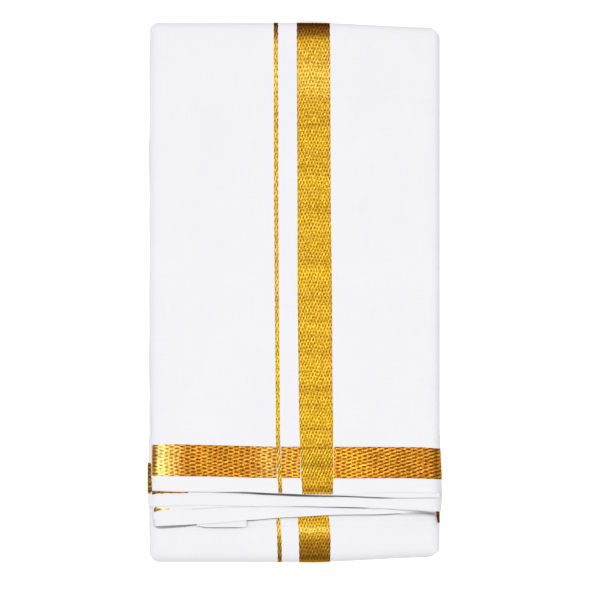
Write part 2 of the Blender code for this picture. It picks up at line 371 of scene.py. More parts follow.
def makeCotton():
    material, tree, shader = newMaterial("whiteCotton")
    look = cottonLook
    warp = clothNoise(tree, 1 / look["slubWide"], 1 / look["slubLong"])
    weft = clothNoise(tree, 1 / look["slubLong"], 1 / look["slubWide"])
    cloudy = clothNoise(tree, 1 / 0.05, 1 / 0.05, 3.0)
    slubs = mathNode(tree, "ADD", warp, weft)
    clouds = mathNode(tree, "MULTIPLY", cloudy, 0.4)
    uneven = mathNode(tree, "ADD", mathNode(tree, "MULTIPLY", slubs, 0.3), clouds)
    colour = mixColours(tree, remap(tree, uneven, 0.35, 0.65, 0.0, 1.0), look["dark"], look["light"])
    # painted shade: an attribute darkens the cotton in the gaps under the hems and where the pack slopes
    # off at its sides and ends
    colour = mixColours(tree, attributeSocket(tree, "creaseAndShade"), colour, look["shade"])
    tree.links.new(colour, shader.inputs["Base Color"])
    shader.inputs["Roughness"].default_value = look["roughness"]
    shader.inputs["Sheen Weight"].default_value = look["sheen"]
    shader.inputs["Sheen Roughness"].default_value = 0.5
    shader.inputs["Specular IOR Level"].default_value = 0.2
    weave = plainWeave(tree, look["threadPitch"])
    ridges = mathNode(tree, "MULTIPLY", slubs, 0.5)
    height = mathNode(tree, "ADD", mathNode(tree, "MULTIPLY", weave, 0.6), ridges)
    bump = tree.nodes.new("ShaderNodeBump")
    bump.inputs["Strength"].default_value = 0.35
    bump.inputs["Distance"].default_value = 0.06 * mm
    tree.links.new(height, bump.inputs["Height"])
    tree.links.new(bump.outputs["Normal"], shader.inputs["Normal"])
    return material


zariLook = {
    "roughness": 0.42,
    "windPitch": 0.35 * mm,                 # the flat strip is wound round its core
    # glare is a painted highlight
    "glare": (0.62, 0.50, 0.17),            # where it bends straight into the light
    # browning shapes the painted shade
    "browning": 1.3,                        # in shade the gold goes brown, not green
}
# gold strands, the painted highlight on their crowns and the silk that ties them down
zariTones = {
    "endGold": {
        "gold": (0.300, 0.152, 0.0055),
        "crownHighlight": (0.52, 0.33, 0.040),
        "tie": (0.105, 0.036, 0.0008),
    },
    "borderGold": {
        "gold": (0.300, 0.108, 0.0060),
        "crownHighlight": (0.60, 0.30, 0.040),
        "tie": (0.070, 0.010, 0.0004),
    },
}


def makeZari(name, tones):
    material, tree, shader = newMaterial(name)
    look = zariLook
    grain = clothNoise(tree, 1 / (1.1 * mm), 1 / (1.1 * mm), 3.0)
    sparkle = remap(tree, grain, 0.40, 0.64, 0.0, 1.0)
    catching = remap(tree, grain, 0.35, 0.6, 0.45, 1.0)
    # painted highlight on the strands' crowns where they catch the light, and a painted sparkle at random
    crownHighlight = mathNode(tree, "MULTIPLY", attributeSocket(tree, "crownHighlight"), catching)
    colour = mixColours(tree, crownHighlight, tones["gold"], tones["crownHighlight"])
    colour = mixColours(tree, mathNode(tree, "MULTIPLY", sparkle, 0.38), colour, tones["crownHighlight"])
    colour = mixColours(tree, attributeSocket(tree, "tie"), colour, tones["tie"])
    # painted highlight, where the strands bend into the light
    colour = mixColours(tree, attributeSocket(tree, "glare"), colour, look["glare"])
    # tone multiplies the colour: painted shade below 1, painted light above 1, with some unevenness at
    # random
    tone = attributeSocket(tree, "tone")
    dusk = tree.nodes.new("ShaderNodeCombineColor")
    tree.links.new(tone, dusk.inputs["Red"])
    tree.links.new(mathNode(tree, "POWER", tone, look["browning"]), dusk.inputs["Green"])
    tree.links.new(tone, dusk.inputs["Blue"])
    shaded = tree.nodes.new("ShaderNodeMix")
    shaded.data_type = "RGBA"
    shaded.blend_type = "MULTIPLY"
    shaded.inputs["Factor"].default_value = 1.0
    tree.links.new(colour, shaded.inputs[6])
    tree.links.new(dusk.outputs[0], shaded.inputs[7])
    tree.links.new(shaded.outputs[2], shader.inputs["Base Color"])
    shader.inputs["Metallic"].default_value = 1.0
    shader.inputs["Specular Tint"].default_value = (0.9, 0.6, 0.2, 1.0)
    rough = remap(tree, grain, 0.3, 0.7, look["roughness"] + 0.1, look["roughness"] - 0.08)
    tree.links.new(rough, shader.inputs["Roughness"])
    winding = plainWeave(tree, look["windPitch"])
    height = mathNode(tree, "ADD", mathNode(tree, "MULTIPLY", winding, 0.5), grain)
    bump = tree.nodes.new("ShaderNodeBump")
    bump.inputs["Strength"].default_value = 0.5
    bump.inputs["Distance"].default_value = 0.12 * mm
    tree.links.new(height, bump.inputs["Height"])
    tree.links.new(bump.outputs["Normal"], shader.inputs["Normal"])
    return material


cotton = makeCotton()
endGold = makeZari("endGold", zariTones["endGold"])
borderGold = makeZari("borderGold", zariTones["borderGold"])
print("materials made")

# the edges that show on the flap, as (x, y) in millimetres
hems = {
    "top": [(-113, -157.1), (-84, -157.8), (-62, -158.1), (-39, -158.2), (-27, -158.8), (-11, -159.4),
            (4.4, -160.2), (28, -160.6), (45, -160.5), (64, -158.9), (80, -158.3), (113, -159.1)],
    "under": [(-113, -157.6), (-84, -158.2), (-39, -158.6), (-11, -159.8), (28, -161.0), (48, -161.6),
              (68, -162.8), (80, -163.2), (113, -162.8)],
    "second": [(-112, -169.9), (-91, -168.9), (-80, -168.6), (-51, -169.2), (4.4, -169.5), (28, -170.0),
               (56, -170.6), (72, -171.3), (84, -172.0), (96, -172.5), (106, -172.9), (113, -174.2)],
    "secondUnder": [(-112, -171.1), (-97, -171.8), (-75, -171.9), (-55, -170.2), (4.4, -169.9),
                    (56, -171.0), (84, -172.4), (96, -172.9), (106, -173.3), (113, -174.6)],
    "tab": [(-79, -184.6), (-74, -185.7), (-71, -186.0), (-43, -185.9), (-36, -185.6)],
    "third": [(-110, -185.6), (-87, -184.6), (-77, -184.0), (-59, -182.7), (-38, -180.8), (-29, -180.5),
              (-15, -179.0), (4.4, -178.2), (27, -176.7), (44, -176.4), (68, -176.3), (84, -175.3),
              (100, -174.7), (113, -175.4)],
}
borderEdges = {
    "top": [(-114, -121.1), (-98, -120.5), (-60, -121.4), (-15, -122.5), (65, -122.6), (100, -122.9),
            (112, -123.8), (118, -124.4)],
    "bottom": [(-114, -145.8), (-60, -146.2), (-30, -147.2), (30, -147.7), (90, -147.5), (118, -148.6)],
}
# below a hem the next layer sinks into a gap whose shadow is painted: (x, how wide, how dark)
gaps = {
    "top": [(-113, 0.8, 0.3), (-84, 0.5, 0.25), (-66, 0.6, 0.35), (-58, 1.0, 0.6), (-40, 1.5, 0.85),
            (-27, 1.9, 1.0), (4, 2.0, 1.0), (28, 1.9, 1.0), (44, 1.6, 0.8), (56, 1.2, 0.4), (66, 0.6, 0.1),
            (113, 0.5, 0.1)],
    "under": [(-113, 0.5, 0.0), (24, 0.5, 0.0), (36, 1.2, 0.9), (62, 1.0, 0.9), (70, 0.9, 0.8),
              (80, 0.5, 0.4), (113, 0.5, 0.3)],
    "second": [(-112, 0.5, 0.1), (-84, 0.5, 0.2), (-76, 0.9, 0.45), (4, 0.9, 0.45), (24, 1.0, 0.6),
               (32, 1.0, 0.9), (62, 1.1, 0.9), (71, 0.7, 0.5), (78, 0.9, 0.6), (88, 1.0, 0.8),
               (96, 1.0, 1.0), (113, 1.3, 1.0)],
    "secondUnder": [(-112, 0.6, 0.4), (-90, 0.6, 0.35), (-74, 0.4, 0.1), (-60, 0.4, 0.0), (113, 0.4, 0.0)],
    "third": [(-113, 0.3, 0.0), (-111.4, 0.3, 0.0), (-108.8, 2.3, 0.6), (-98, 2.2, 0.66), (-87, 1.8, 0.72),
              (-78, 1.0, 0.8), (-75, 0.4, 0.25), (-42, 0.4, 0.25), (-38, 1.1, 0.85), (-29, 0.8, 0.55),
              (-15, 0.7, 0.5), (27, 0.7, 0.6), (68, 0.8, 0.7), (100, 0.9, 0.8), (113, 1.0, 0.9)],
    "tab": [(-80, 0.3, 0.0), (-77, 0.6, 0.3), (-72, 1.2, 0.6), (-44, 1.3, 0.65), (-39, 0.9, 0.4),
            (-37, 0.3, 0.0)],
}


# how far the layer below sinks under a hem, and how much painted shadow it gets
def gapUnder(x, y, hem):
    edge = readTable(hems[hem], x)
    wide = readTable([(row[0], row[1]) for row in gaps[hem]], x, 0.8 * mm)
    dark = readTable([(row[0], row[2]) for row in gaps[hem]], x, 0.8 * mm) / mm
    away = edge - y
    shape = smoothStep(away, wide + 0.35 * mm, wide - 0.25 * mm) * smoothStep(away, -6 * mm, -1.5 * mm)
    return 0.9 * wide * shape, dark * shape


# where the thin line and the wide band run: (y, line left, line right, band left, band right)
bandRows = {
    "flap": [(-170, -12.6, -9.7, 6.5, 30.4), (-154, -12.8, -9.8, 6.1, 30.6),
             (-148, -13.2, -10.1, 5.5, 30.9), (-116, -14.6, -11.4, 4.3, 30.6),
             (-100, -14.7, -11.6, 3.9, 30.7), (-85, -14.8, -11.7, 3.6, 30.3),
             (-6, -15.5, -12.4, 2.6, 29.8), (73, -16.1, -12.8, 2.5, 28.8),
             (184, -16.3, -13.0, 1.9, 28.4), (216, -16.3, -13.0, 1.9, 28.0)],
    "lower": [(-216, -13.2, -10.0, 3.8, 28.4), (-206, -13.4, -10.1, 3.8, 28.6),
              (-196, -13.6, -10.3, 3.6, 28.7), (-185, -14.1, -11.0, 3.2, 28.1),
              (-177, -14.6, -11.4, 2.6, 27.1), (216, -14.4, -11.4, 2.6, 27.1)],
}


# x of the edges of the thin line and the wide band, at a place on the path
def bandEdges(along):
    y = outsideY(along)
    flap = np.array(bandRows["flap"]) * mm
    lower = np.array(bandRows["lower"]) * mm
    edges = {}
    for column, name in enumerate(("lineLeft", "lineRight", "bandLeft", "bandRight"), start=1):
        front = np.interp(y, flap[:, 0], flap[:, column])
        under = np.interp(y, lower[:, 0], lower[:, column])
        share = smoothStep(along, marks["topEnd"], marks["bottomStart"])
        edges[name] = front + share * (under - front)
    return edges


outerCloth = {
    "left": -112.8 * mm,
    "leftThird": -112.6 * mm,
    "sideReach": 12 * mm,           # columns stand closer together by the two sides
    "middleColumns": 67,
    "nose": 1.2 * mm,               # how far its left fold bulges
    "hiddenReach": 28 * mm,         # how far a folded layer runs back inside
    "uprightFrom": -100 * mm,
}


# half an ellipse from one depth to another; reach is signed, towards the fold
def uTurn(centre, reach, fromDepth, toDepth, steps):
    points = []
    middle = (fromDepth + toDepth) / 2
    half = (fromDepth - toDepth) / 2
    for step in range(1, steps):
        turn = math.pi * step / steps
        points.append((centre + reach * math.sin(turn), middle + half * math.cos(turn)))
    return points


# across the outer cloth: (x, depth, left share, third share, right share) columns
def outerSection():
    look = outerCloth
    first = leaf / 2                # depths of the layers where the sheet turns back
    fourth = 3.5 * passDeep / pack["layers"]
    ninth = 8.7 * passDeep / pack["layers"]
    last = passDeep - leaf / 2
    radius = (last - first) / 2
    columns = []

    def add(points, left=0.0, third=0.0, right=0.0):
        columns.extend((x, depth, left, third, right) for x, depth in points)

    left, third = look["left"], look["leftThird"]
    nose = look["nose"]
    inside = left + look["hiddenReach"]
    add([(inside - step * look["hiddenReach"] / 5 * 0.95, fourth) for step in range(5)], left=1.0)
    start, end = left + nose, sideEdge - radius
    add([(start, fourth)] + uTurn(start, -nose, fourth, first, 8) + [(start, first)], left=1.0)
    middle = np.linspace(start + look["sideReach"], end - look["sideReach"], look["middleColumns"])
    for x in [*np.linspace(start, middle[0], 15)[1:-1], *middle, *np.linspace(middle[-1], end, 15)[1:-1]]:
        nearLeft = float(1 - smoothStep(x, start, start + 30 * mm))
        nearRight = float(smoothStep(x, end - 30 * mm, end))
        add([(x, first)], left=nearLeft, right=nearRight)
    add([(end, first)] + uTurn(end, radius, first, last, 16) + [(end, last)], right=1.0)
    start, end = sideEdge - radius, third + 3 * mm
    for step in range(1, 15):
        x = start + (end - start) * step / 15
        nearLeft = float(1 - smoothStep(x, end, end + 40 * mm))
        nearRight = float(smoothStep(x, start - 40 * mm, start))
        add([(x, last)], third=nearLeft, right=nearRight)
    add([(end, last)] + uTurn(end, third - end, last, ninth, 10) + [(end, ninth)], third=1.0)
    add([(end + step * look["hiddenReach"] / 4, ninth) for step in range(1, 5)], third=1.0)
    return np.array(columns)


# x, depth and distance on the path of the outer cloth, for rows of distances
def outerGrid(alongRows, section):
    if alongRows.ndim == 1:
        alongRows = np.repeat(alongRows[:, None], len(section), axis=1)
    inset = cornerInset(alongRows)
    y = outsideY(alongRows)
    wander = 0.5 * mm * np.sin(y / 0.037 + 0.6) + 0.3 * mm * np.sin(alongRows / 0.011)
    lift = np.where(alongRows < marks["topStart"], smoothStep(y, -120 * mm, -40 * mm), 1.0)
    leftMove = -1.8 * mm * lift + 0.25 * wander + inset
    thirdMove = 0.6 * wander - 1.2 * mm * lift + inset
    rightMove = 1.0 * mm + bulge(alongRows) - inset
    x = section[:, 0] + leftMove * section[:, 2]
    x = x + thirdMove * section[:, 3] + rightMove * section[:, 4]
    depth = np.broadcast_to(section[:, 1], alongRows.shape)
    return x, depth, alongRows


# the distance of each column from the first one, measured across the cloth
def farAcross(columns):
    far = np.hypot(np.diff(columns[:, 0]), np.diff(columns[:, 1]))
    return np.concatenate([[0.0], np.cumsum(far)])


topMost = outsideY(np.linspace(marks["topStart"], marks["topEnd"], 80)).max()
bottomMost = outsideY(np.linspace(marks["bottomStart"], marks["bottomEnd"], 80)).min()


# a faint painted shade where the pack slopes off at its sides and ends
def sideShade(points):
    x, y = points[..., 0], points[..., 1]
    shorter = taperAt(x)
    distances = {
        "left": x - shoulders["left"],
        "right": shoulders["right"] - x,
        "top": topMost - shorter - y,
        "bottom": y - bottomMost - shorter,
    }
    shade = 0.0 * x
    for side, distance in distances.items():
        dark, reach = edgeShades[side]
        shade = np.maximum(shade, dark * np.exp(-(np.clip(distance, 0.0, None) / reach) ** 1.3))
    return shade * smoothStep(points[..., 2], 1 * mm, 9 * mm)


# each piece carries painted shade per point: the faint shade at the pack's sides and ends, and any painted
# shadow in gaps
def clothPiece(name, x, depth, along, replaced, flat, creaseAndShade=None, thickness=leaf):
    points = place(along, x, depth)
    creaseAndShade = np.maximum(sideShade(points), 0.0 if creaseAndShade is None else creaseAndShade)
    far = np.linalg.norm(np.diff(points[len(points) // 2], axis=0), axis=-1)
    across = np.concatenate([[0.0], np.cumsum(far)])
    piece = gridMesh(name, points, across[None, :], along)
    addAttribute(piece, "creaseAndShade", creaseAndShade)
    thicken(piece, thickness)
    finishPiece(piece, cotton, replaced)
    print(name, "made,", len(piece.data.polygons), "faces")


section = outerSection()
sectionWidth = float(farAcross(section)[-1])


# rows of the flap, close together at its hem and following it, then straight
def flapRowsAt(section):
    shares = [0.0, 0.006, 0.014, 0.026, 0.045, 0.075, 0.12, 0.18, 0.25, 0.33, 0.42, 0.52, 0.63, 0.75, 0.87]
    x, depth = section[:, 0], section[:, 1]
    depthShare = np.clip((depth - 2 * mm) / (passDeep - 3 * mm), 0.0, 1.0)
    topHem = readTable(hems["top"], x)
    lowHem = readTable(hems["third"], x) + 5 * mm
    atRight = x > 60 * mm
    hem = topHem + (lowHem - topHem) * depthShare * atRight
    hem = np.where(~atRight & (depth > 4 * mm), lowHem, hem)
    hem = np.where(~atRight & (depth > 1 * mm) & (depth < 3 * mm), readTable(hems["under"], x), hem)
    straight = outerCloth["uprightFrom"]
    rows = [hem + (straight - hem) * share for share in shares]
    rows += [np.full(len(section), y) for y in np.arange(straight, 180 * mm, 4 * mm)]
    rows += [np.full(len(section), y) for y in np.arange(180 * mm, topFold["start"] - 1 * mm, 2 * mm)]
    flap = flapAlong(np.array(rows))
    fold = np.linspace(marks["topStart"], marks["topEnd"], 34)
    fold = np.repeat(fold[:, None], len(section), axis=1)
    return np.vstack([flap, fold])


flapGrid = outerGrid(flapRowsAt(section), section)
clothPiece("flapCloth", *flapGrid, ["flap_cloth"], (sectionWidth, 0.40))

backRows = np.concatenate([
    [marks["topEnd"]],
    np.arange(marks["topEnd"] + 2 * mm, marks["bottomStart"] - 2 * mm, 7 * mm),
    [marks["bottomStart"]],
])
clothPiece("backCloth", *outerGrid(backRows, section), ["back_cloth"], (sectionWidth, 0.408))


# rows of the lower front: round the fold, then close together below the flap's hems
def lowerRowsAt(section):
    fold = np.linspace(marks["bottomStart"], marks["bottomEnd"], 40)
    fold = np.repeat(fold[:, None], len(section), axis=1)
    hem = readTable(hems["third"], section[:, 0])
    start = bottomFold["start"] + 16.6 * mm
    offsets = [-2.4, -2.1, -1.85, -1.6, -1.35, -1.1, -0.85, -0.6, -0.35, 0.0, 0.5, 1.2, 2.4]
    tab = np.minimum(readTable(hems["tab"], section[:, 0]) - 1.3 * mm, hem - 2.8 * mm)
    rows = [start + (tab - start) * share for share in (0.25, 0.5, 0.75, 1.0)]
    rows += [tab + (hem - 2.4 * mm - tab) * share for share in (0.07, 0.15, 0.25, 0.37, 0.5, 0.65, 0.82)]
    rows += [hem + offset * mm for offset in offsets]
    rows += [hem + (-150 * mm - hem) * share for share in (0.3, 0.6, 1.0)]
    rows += [np.full(len(section), y) for y in np.arange(-140 * mm, lowerEnd, 9 * mm)]
    return np.vstack([fold, lowerAlong(np.array(rows))])


x, depth, along = outerGrid(lowerRowsAt(section), section)
onTop = (depth < 1 * mm) & (along > marks["bottomEnd"] - 5 * mm)
# painted shadow on the lower front, in the gaps under the third layers' hem and under the tab
sink, shade = gapUnder(x, outsideY(along), "third")
sinkTab, shadeTab = gapUnder(x, outsideY(along), "tab")
sink, shade = np.maximum(sink, sinkTab), np.maximum(shade, shadeTab)
sink = np.minimum(sink, 1.1 * mm)          # it must not reach the layers inside
clothPiece("lowerCloth", x, depth + np.where(onTop, sink, 0.0), along,
           ["lower_cloth"], (sectionWidth, 0.43), np.where(onTop, shade, 0.0))
print("outer cloth made")

# the layers that step out under the flap; depths and places in millimetres
stepSheets = {
    "secondLayers": {
        "hem": "second",
        "above": ["top", "under"],
        "left": -115.6,
        "right": 115.6,
        "depth": 2.35,
        "turnTo": 4.05,
        "swell": 1.6,               # how far it follows the swelling of the right side
        # dim is painted shade
        "dim": 0.0,                 # how much its right end lies in shade
        "replaces": ["second_layers"],
    },
    "thirdLayers": {
        "hem": "third",
        "above": ["second", "secondUnder"],
        "left": -110.8,
        "right": 114.7,
        "depth": 4.45,
        "turnTo": 8.2,
        "swell": 0.0,
        "dim": 0.64,
        "replaces": ["third_layers"],
    },
}


def stepSection(look):
    left, right = look["left"] * mm, look["right"] * mm
    top, low = look["depth"] * mm, look["turnTo"] * mm
    nose = 0.55 * (low - top)
    inside = [(left + 24 * mm, low), (left + 12 * mm, low), (left + 4 * mm, low), (left + nose, low)]
    turn = uTurn(left + nose, -nose, low, top, 9)
    span = [(x, top) for x in np.linspace(left + nose, right - 1.6 * mm, 90)]
    drop = [(right - back * mm, top + down * mm) for back, down in ((1.0, 0.25), (0.5, 0.6), (0.0, 1.3))]
    return np.array(inside + turn + span + drop)


def makeStep(name, look):
    columns = stepSection(look)
    x = columns[:, 0]
    upper, under = look["above"]
    above = np.minimum(readTable(hems[upper], x), readTable(hems[under], x))
    own = readTable(hems[look["hem"]], x)
    offsets = [-2.7, -2.4, -2.1, -1.85, -1.6, -1.35, -1.1, -0.85, -0.6, -0.35, 0.0, 0.4, 1.0, 1.8, 2.6, 3.4,
               5.0]
    rows = [own]
    for share in (0.02, 0.06, 0.13, 0.25, 0.42, 0.62, 0.82):
        rows.append(own + (above - 3.1 * mm - own) * share)
    rows += [above + offset * mm for offset in offsets]
    rows += [np.full(len(x), y * mm) for y in (-145, -130, -114)]
    y = np.array(rows)
    swell = look["swell"] * mm * np.exp(-((y + 158 * mm) / (16 * mm)) ** 2)
    xs = x + swell * smoothStep(x, 100 * mm, 114 * mm)
    # painted shadow in the gaps under the hems above, and painted shade over the right end
    sink, shade = gapUnder(xs, y, upper)
    sinkUnder, shadeUnder = gapUnder(xs, y, under)
    sink, shade = np.maximum(sink, sinkUnder), np.maximum(shade, shadeUnder)
    shade = np.maximum(shade, look["dim"] * smoothStep(xs, 84 * mm, 104 * mm))
    top = np.broadcast_to(columns[:, 1], y.shape)
    onTop = (top < look["depth"] * mm + 0.1 * mm) & (xs > (look["left"] + 0.9) * mm)
    room = 1.4 * mm
    depth = top + np.where(onTop, np.minimum(sink, room), 0.0)
    shade = np.where(onTop, shade, 0.0)
    clothPiece(name, xs, depth, flapAlong(y), look["replaces"], (0.27, 0.062), shade)


for name, look in stepSheets.items():
    makeStep(name, look)


innerEnd = {
    "left": -77.6 * mm,
    "right": -38.0 * mm,
    "depth": 6.9 * mm,
    "low": -186.3 * mm,
    "hemRise": 0.5 * mm,            # its hem is folded twice, so it stands up a little
    "hemWide": 0.8 * mm,
    "thick": 0.9 * mm,
}


# the hemmed corner of the cloth's cut end, which peeps out under the third layers
def makeInnerEnd():
    look = innerEnd
    xs = np.linspace(look["left"], look["right"], 34)
    reach = smoothStep(xs, look["left"] - 2 * mm, look["left"] + 9 * mm)
    edge = readTable(hems["third"], xs)
    low = edge + (look["low"] - edge) * np.clip(0.35 + 0.65 * reach, 0.0, 1.0)
    shares = (0.0, 0.02, 0.05, 0.09, 0.14, 0.2, 0.3, 0.5, 1.0)
    y = np.array([low + (edge + 12 * mm - low) * share for share in shares])
    hemmed = np.exp(-((y - low - 0.9 * mm) / look["hemWide"]) ** 2)
    depth = look["depth"] - look["hemRise"] * hemmed
    clothPiece("innerEnd", np.broadcast_to(xs, y.shape), depth, flapAlong(y),
               ["inner_end"], (0.0396, 0.014), thickness=look["thick"])


makeInnerEnd()

# the folded edges inside the left side
nest = {
    "left": -114.9 * mm,
    "out": 1.2 * mm,                # how far they stick out beside the border
    "nose": 0.9 * mm,
    "reach": 24 * mm,
    "top": 2.4 * mm,
    "low": 4.05 * mm,
}


def nestColumns(steps):
    left, top, low, nose = nest["left"], nest["top"], nest["low"], nest["nose"]
    columns = [(left + nest["reach"], low), (left + 8 * mm, low), (left + nose, low)]
    columns += uTurn(left + nose, -nose, low, top, steps)
    columns += [(left + nose, top), (left + 8 * mm, top), (left + nest["reach"], top)]
    return np.array(columns)


# the folded edges wander in and out, and stick out most beside the border
def nestMove(along):
    y = outsideY(along)
    near = (1 - smoothStep(y, -138 * mm, -130 * mm)) * (along < marks["topStart"])
    wander = 0.25 * mm * np.sin(along / 0.023 + 1.2) + 0.2 * mm * np.sin(along / 0.0087)
    return cornerInset(along) + wander * (1 - near) - nest["out"] * near


# the second group of folds, which shows at the left side all the way round
def makeNest():
    columns = nestColumns(8)
    along = np.concatenate([
        flapAlong(np.arange(-168.4 * mm, -120 * mm, 2 * mm)),
        flapAlong(np.arange(-118 * mm, topFold["start"], 6 * mm)),
        np.linspace(marks["topStart"], marks["topEnd"], 30),
        np.arange(marks["topEnd"] + 6 * mm, marks["bottomStart"] - 3 * mm, 7 * mm),
        np.linspace(marks["bottomStart"], marks["bottomEnd"], 26),
        np.arange(marks["bottomEnd"] + 6 * mm, marks["end"], 7 * mm),
    ])
    grid = np.repeat(along[:, None], len(columns), axis=1)
    x = columns[:, 0] + nestMove(grid)
    depth = np.broadcast_to(columns[:, 1], grid.shape)
    clothPiece("foldedEdges", x, depth, grid, ["hidden_layers"], (0.05, 1.21))


makeNest()


# the layers whose selvedges show only as edges between the hems, counted from the front
leafGroups = [
    {"hem": "top", "layers": [1], "left": -112.6, "right": 114.4, "setBack": True},
    {"hem": "under", "layers": [2], "left": -112.6, "right": 115.2, "setBack": False},
    {"hem": "second", "layers": [5, 6], "left": -111.6, "right": 112.4, "setBack": True},
    {"hem": "secondUnder", "layers": [7], "left": -111.6, "right": 112.4, "setBack": False},
    {"hem": "third", "layers": [9, 10, 11, 12, 13, 14], "left": -110.0, "right": 112.4, "setBack": True},
]


# a short strip of one layer, along its selvedge
def makeLeaf(group, number):
    xs = np.linspace(group["left"] * mm, group["right"] * mm, 70)
    wobble = 0.20 * mm * np.sin(xs / 0.017 + number * 1.7) + 0.10 * mm * np.sin(xs / 0.006 + number)
    setBack = (0.5 + 0.28 * (number % 3)) * mm if group["setBack"] else 0.0
    edge = readTable(hems[group["hem"]], xs) + setBack + wobble
    y = np.array([edge, edge + 0.6 * mm, edge + 2 * mm, edge + 4.5 * mm])
    depth = (number + 0.5) * passDeep / pack["layers"]
    points = place(flapAlong(y), np.broadcast_to(xs, y.shape), np.full(y.shape, depth))
    strip = gridMesh("leaf", points, xs[None, :], flapAlong(y))
    addAttribute(strip, "creaseAndShade", np.zeros(y.shape))
    return strip


def makeLeaves():
    strips = [makeLeaf(group, number) for group in leafGroups for number in group["layers"]]
    selectOnly(strips[0])
    for strip in strips:
        strip.select_set(True)
    bpy.ops.object.join()
    joined = bpy.context.view_layer.objects.active
    joined.name = "selvedgeLeaves"
    joined.data.name = "selvedgeLeaves"
    thicken(joined, 0.4 * mm)
    finishPiece(joined, cotton)


makeLeaves()
print("inner layers made")

weaveLook = {
    "relief": 0.30 * mm,
    "proud": 0.12 * mm,             # how far a band's edge stands above the cotton
    "thick": 0.30 * mm,
    "edgeWide": 0.55 * mm,
    "edgeStitch": 2.1 * mm,
    "glint": 0.34,                  # strands catch the light unevenly
}
# pitch is how far apart the tie-downs are along a band and across it
weaves = {
    "end": {"pitch": (2.85 * mm, 2.45 * mm), "size": 0.56, "soft": 0.22, "edgeAxis": 1},
    "border": {"pitch": (4.3 * mm, 2.85 * mm), "size": 0.50, "soft": 0.20, "edgeAxis": 0},
}


# a fixed but unordered number from 0 to 1 for each cell of the weave
def scatter(column, row, seed):
    jumble = np.sin(column * 12.9898 + row * 78.233 + seed) * 43758.5453
    return jumble - np.floor(jumble)


# a staggered lattice: how tied down, how high on a strand's crown (where a painted highlight goes), its
# wave and its facets
def lattice(run, across, look, lean, seed, tight=0.0):
    runPitch, acrossPitch = look["pitch"]
    warpRun = 0.40 * mm * np.sin(across / 0.0031 + seed) + 0.45 * mm * np.sin(run / 0.0067 + 2 * seed)
    warpAcross = 0.30 * mm * np.sin(run / 0.0049 + 3 * seed)
    warpAcross = warpAcross + 0.22 * mm * np.sin(run / 0.0117 - across / 0.009)
    warpAcross = warpAcross + 0.12 * mm * np.sin(across / 0.0021 + run / 0.0037)
    u = (run + warpRun) * math.pi / runPitch
    v = (across + warpAcross) * 2 * math.pi / acrossPitch
    wave = 0.5 + 0.5 * ((1 - lean) * np.cos(u) * np.cos(v) + lean * np.cos(u - v))
    cell = 0.5 + 0.5 * np.sin(np.round(u / math.pi) * 12.9 + np.round(v / math.pi) * 7.3 + seed)
    patch = 0.5 + 0.25 * np.sin(run / 0.0053 + seed) + 0.25 * np.sin(across / 0.0071 + run / 0.0037)
    low = look["size"] - 0.12 * tight + 0.10 * cell + 0.08 * patch
    tie = smoothStep(wave, low, low + look["soft"]) * (0.75 + 0.25 * cell)
    facet = scatter(np.floor(2 * u / math.pi), np.floor(2 * v / math.pi), seed)
    crownHighlight = (1 - smoothStep(wave, 0.20, 0.60)) * facet
    return tie, crownHighlight, wave, facet


# how much of a band's height is left where it is pressed: round the top fold, and most underneath
def pressed(along):
    under = smoothStep(along, marks["topEnd"] - 8 * mm, marks["topEnd"])
    under = under * (1 - smoothStep(along, marks["bottomStart"], marks["bottomStart"] + 8 * mm))
    around = smoothStep(along, marks["topStart"] + 2 * mm, marks["topStart"] + 8 * mm)
    around = around * (1 - smoothStep(along, marks["topEnd"], marks["topEnd"] + 8 * mm))
    return (1 - 0.6 * around) * (1 - 0.9 * under)


# a woven band laid on the cloth, with its threads in relief
def bandPiece(name, grid, run, across, weave, lean, tone, glare, material, replaced, seed, tight=0.0):
    x, depth, along = grid
    look = weaves[weave]
    tie, crownHighlight, wave, facet = lattice(run, across, look, lean, seed, tight)
    tone = tone * (1 + weaveLook["glint"] * (facet - 0.5))
    glare = glare * (0.55 + 0.45 * facet) * (1 - 0.55 * tie)
    lowEdge = across.min(axis=look["edgeAxis"], keepdims=True)
    highEdge = across.max(axis=look["edgeAxis"], keepdims=True)
    far = np.minimum(across - lowEdge, highEdge - across)
    stitch = 0.5 + 0.5 * np.cos(run * 2 * math.pi / weaveLook["edgeStitch"] + seed)
    edgeWide = min(weaveLook["edgeWide"], 0.25 * far.max())
    edgeDark = 0.5 * (1 - smoothStep(far, 0.4 * edgeWide, edgeWide)) * stitch
    tie = np.maximum(tie, edgeDark)
    relief = weaveLook["relief"] * smoothStep(far, 0.0, 1.4 * mm)
    height = weaveLook["proud"] + relief * (1 - tie) * (0.55 + 0.45 * (1 - wave))
    points = place(along, x, depth - height * pressed(along))
    piece = gridMesh(name, points, across, run)
    for label, values in (("tie", tie), ("crownHighlight", crownHighlight), ("tone", tone), ("glare", glare)):
        addAttribute(piece, label, np.broadcast_to(values, x.shape))
    thicken(piece, weaveLook["thick"], -1.0)
    finishPiece(piece, material, replaced)
    print(name, "made,", len(piece.data.polygons), "faces")


# a soft ridge of height 1 round a place, for shades and glints
def ridge(value, middle, wide):
    return np.exp(-((value - middle) / wide) ** 2)


